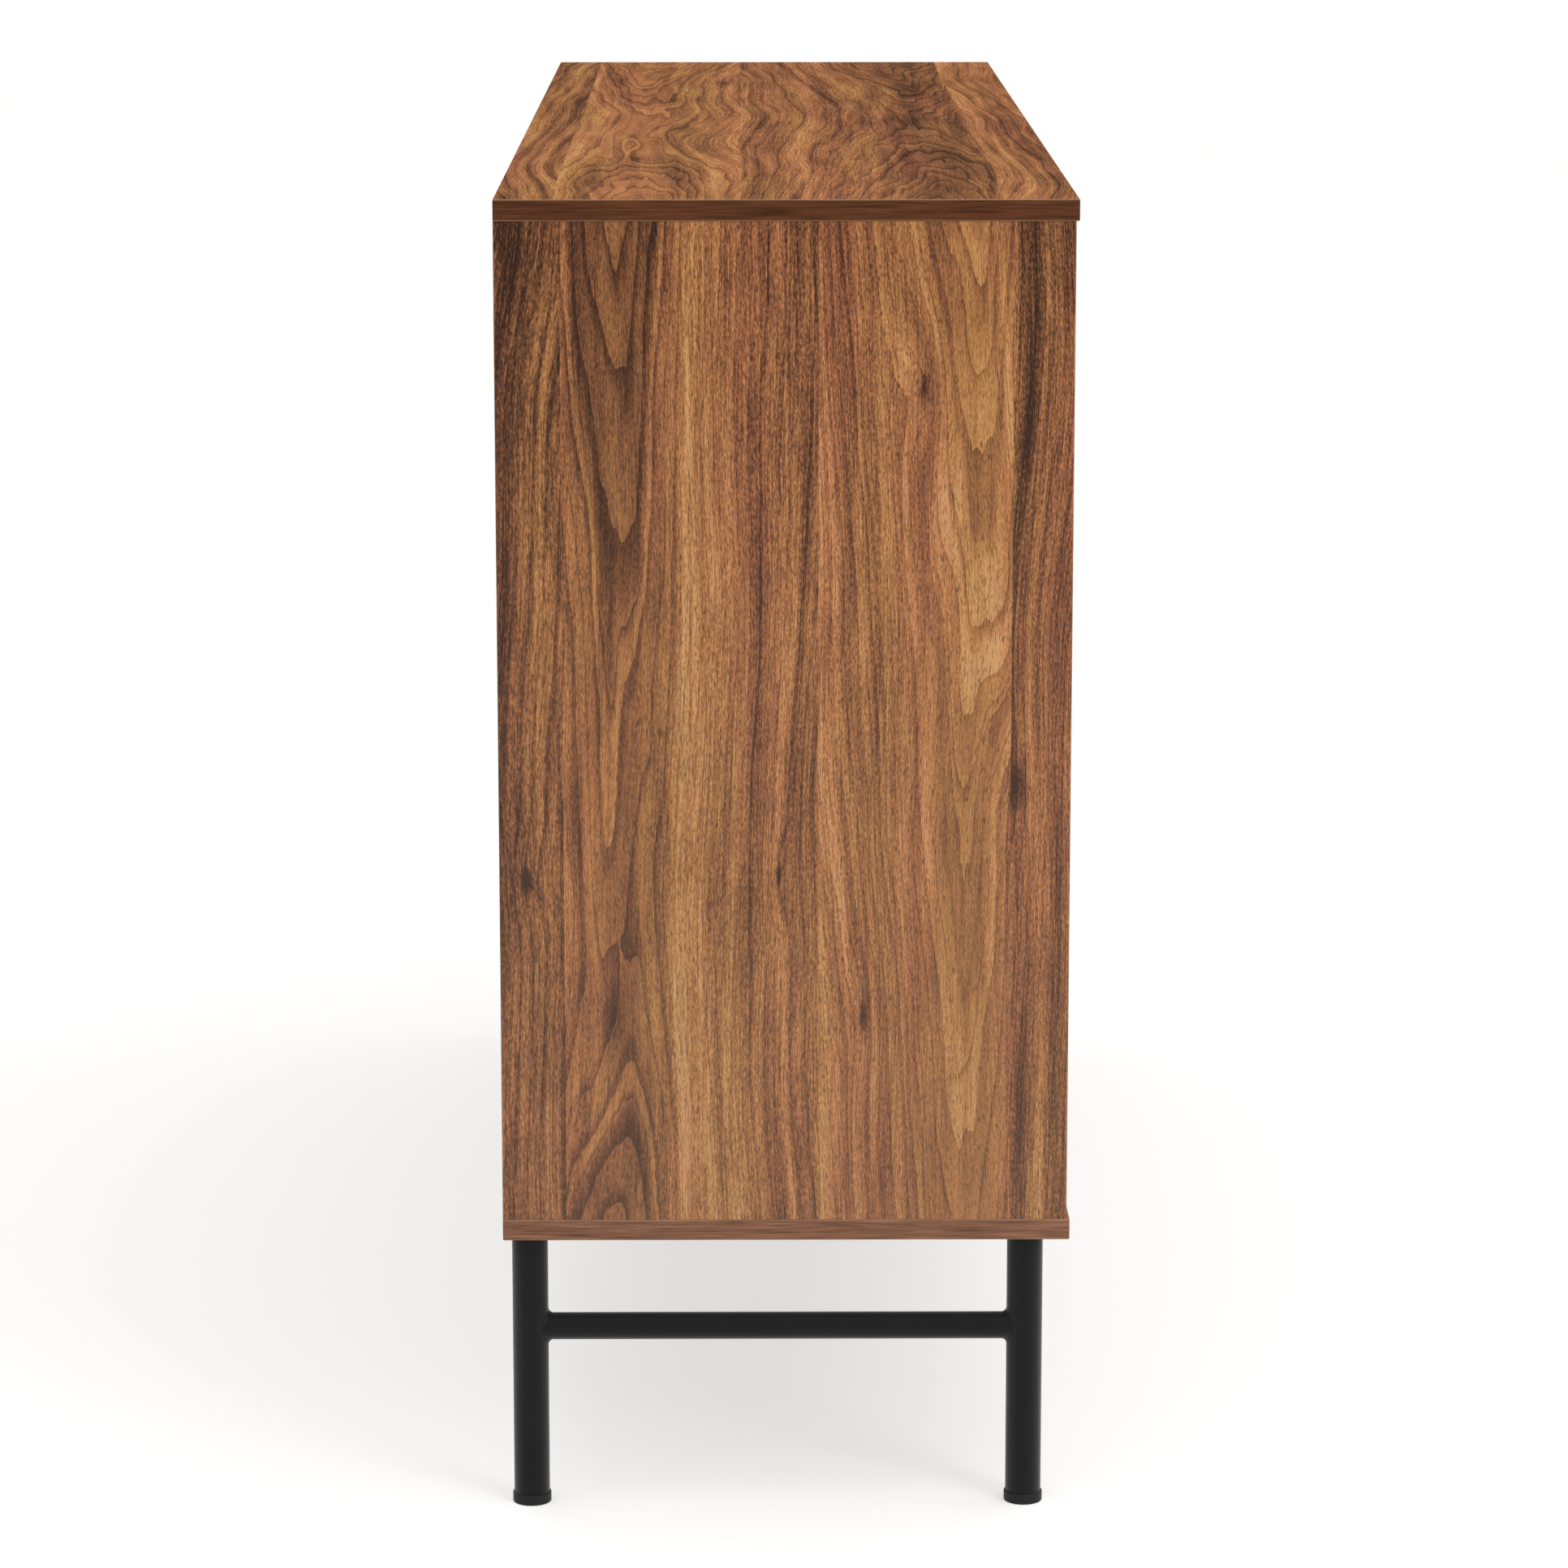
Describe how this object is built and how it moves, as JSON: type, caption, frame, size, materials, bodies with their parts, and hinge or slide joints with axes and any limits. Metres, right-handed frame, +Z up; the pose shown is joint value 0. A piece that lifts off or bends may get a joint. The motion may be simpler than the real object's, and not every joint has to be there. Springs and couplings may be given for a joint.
{
  "type": "sideboard",
  "caption": "Long low sideboard of thin walnut-faced boards on black tube leg frames, with pivoting doors over shelves at the ends and drawers on roller runners between.",
  "frame": {"origin": "on the floor under the middle of the whole object, knobs included", "axes": "+X along the length, -Y towards the doors and drawers, +Z up"},
  "size_m": [1.4, 0.4138, 0.918],
  "materials": {
    "walnut_laminate": "satin walnut-print melamine",
    "hardboard": "walnut-print hardboard",
    "drawer_board": "satin melamine",
    "beech": "fluted, unfinished",
    "black_steel": "satin black powder coat",
    "zinc_plated_steel": "bright zinc plate",
    "zinc_alloy": "die cast",
    "black_plastic": "moulded",
    "white_nylon": "moulded"
  },
  "bodies": {
    "cabinet": {"top_panel": "walnut_laminate", "bottom_panel": "walnut_laminate", "left_side_panel": "walnut_laminate", "right_side_panel": "walnut_laminate", "left_partition": "walnut_laminate", "right_partition": "walnut_laminate", "left_back_panel": "hardboard", "centre_back_panel": "hardboard", "right_back_panel": "hardboard", "cam_locks": "zinc_alloy", "cam_bolts": "zinc_plated_steel", "dowels": "beech", "left_shelf": "walnut_laminate", "right_shelf": "walnut_laminate", "shelf_pins": "zinc_plated_steel", "left_front_leg": "black_steel", "left_rear_leg": "black_steel", "right_front_leg": "black_steel", "right_rear_leg": "black_steel", "left_crossbar": "black_steel", "right_crossbar": "black_steel", "left_leg_plate": "black_steel", "right_leg_plate": "black_steel", "leg_screws": "zinc_plated_steel", "foot_caps": "black_plastic", "pivot_bushes": "white_nylon", "magnetic_catches": "white_nylon", "cabinet_runners": "zinc_plated_steel"},
    "left_door": {"left_door": "walnut_laminate", "left_door_pivots": "zinc_plated_steel", "left_door_knob": "black_steel", "left_door_strike": "zinc_plated_steel"},
    "right_door": {"right_door": "walnut_laminate", "right_door_pivots": "zinc_plated_steel", "right_door_knob": "black_steel", "right_door_strike": "zinc_plated_steel"},
    "bottom_drawer": {"bottom_drawer_front": "walnut_laminate", "bottom_drawer_sides": "drawer_board", "bottom_drawer_back": "drawer_board", "bottom_drawer_bottom": "hardboard", "bottom_drawer_knob": "black_steel", "bottom_drawer_runners": "zinc_plated_steel"},
    "bottom_front_rollers": {"bottom_front_rollers": "white_nylon"},
    "bottom_rear_rollers": {"bottom_rear_rollers": "white_nylon"},
    "middle_drawer": {"middle_drawer_front": "walnut_laminate", "middle_drawer_sides": "drawer_board", "middle_drawer_back": "drawer_board", "middle_drawer_bottom": "hardboard", "middle_drawer_knob": "black_steel", "middle_drawer_runners": "zinc_plated_steel"},
    "middle_front_rollers": {"middle_front_rollers": "white_nylon"},
    "middle_rear_rollers": {"middle_rear_rollers": "white_nylon"},
    "top_drawer": {"top_drawer_front": "walnut_laminate", "top_drawer_sides": "drawer_board", "top_drawer_back": "drawer_board", "top_drawer_bottom": "hardboard", "top_drawer_knob": "black_steel", "top_drawer_runners": "zinc_plated_steel"},
    "top_front_rollers": {"top_front_rollers": "white_nylon"},
    "top_rear_rollers": {"top_rear_rollers": "white_nylon"}
  },
  "joints": [
    {"name": "left_door_swing", "type": "hinge", "parent": "cabinet", "child": "left_door", "pos_m": [-0.6685, -0.1774, 0.21], "axis": [0, 0, -1], "range_deg": [0, 110]},
    {"name": "right_door_swing", "type": "hinge", "parent": "cabinet", "child": "right_door", "pos_m": [0.6685, -0.1774, 0.21], "axis": [0, 0, 1], "range_deg": [0, 110]},
    {"name": "bottom_drawer_slide", "type": "slide", "parent": "cabinet", "child": "bottom_drawer", "axis": [0, -1, 0], "range_m": [0, 0.28]},
    {"name": "bottom_front_rollers_spin", "type": "hinge", "parent": "cabinet", "child": "bottom_front_rollers", "pos_m": [0, -0.1559, 0.2455], "axis": [1, 0, 0], "range_deg": [0, 2010]},
    {"name": "bottom_rear_rollers_spin", "type": "hinge", "parent": "bottom_drawer", "child": "bottom_rear_rollers", "pos_m": [0, 0.1681, 0.2435], "axis": [1, 0, 0], "range_deg": [0, 2010]},
    {"name": "middle_drawer_slide", "type": "slide", "parent": "cabinet", "child": "middle_drawer", "axis": [0, -1, 0], "range_m": [0, 0.28]},
    {"name": "middle_front_rollers_spin", "type": "hinge", "parent": "cabinet", "child": "middle_front_rollers", "pos_m": [0, -0.1559, 0.47567], "axis": [1, 0, 0], "range_deg": [0, 2010]},
    {"name": "middle_rear_rollers_spin", "type": "hinge", "parent": "middle_drawer", "child": "middle_rear_rollers", "pos_m": [0, 0.1681, 0.47367], "axis": [1, 0, 0], "range_deg": [0, 2010]},
    {"name": "top_drawer_slide", "type": "slide", "parent": "cabinet", "child": "top_drawer", "axis": [0, -1, 0], "range_m": [0, 0.28]},
    {"name": "top_front_rollers_spin", "type": "hinge", "parent": "cabinet", "child": "top_front_rollers", "pos_m": [0, -0.1559, 0.70583], "axis": [1, 0, 0], "range_deg": [0, 2010]},
    {"name": "top_rear_rollers_spin", "type": "hinge", "parent": "top_drawer", "child": "top_rear_rollers", "pos_m": [0, 0.1681, 0.70383], "axis": [1, 0, 0], "range_deg": [0, 2010]}
  ],
  "couplings": [
    {"joint": "bottom_front_rollers_spin", "follows": "bottom_drawer_slide", "rad_per_m": 125},
    {"joint": "bottom_rear_rollers_spin", "follows": "bottom_drawer_slide", "rad_per_m": 125},
    {"joint": "middle_front_rollers_spin", "follows": "middle_drawer_slide", "rad_per_m": 125},
    {"joint": "middle_rear_rollers_spin", "follows": "middle_drawer_slide", "rad_per_m": 125},
    {"joint": "top_front_rollers_spin", "follows": "top_drawer_slide", "rad_per_m": 125},
    {"joint": "top_rear_rollers_spin", "follows": "top_drawer_slide", "rad_per_m": 125}
  ]
}
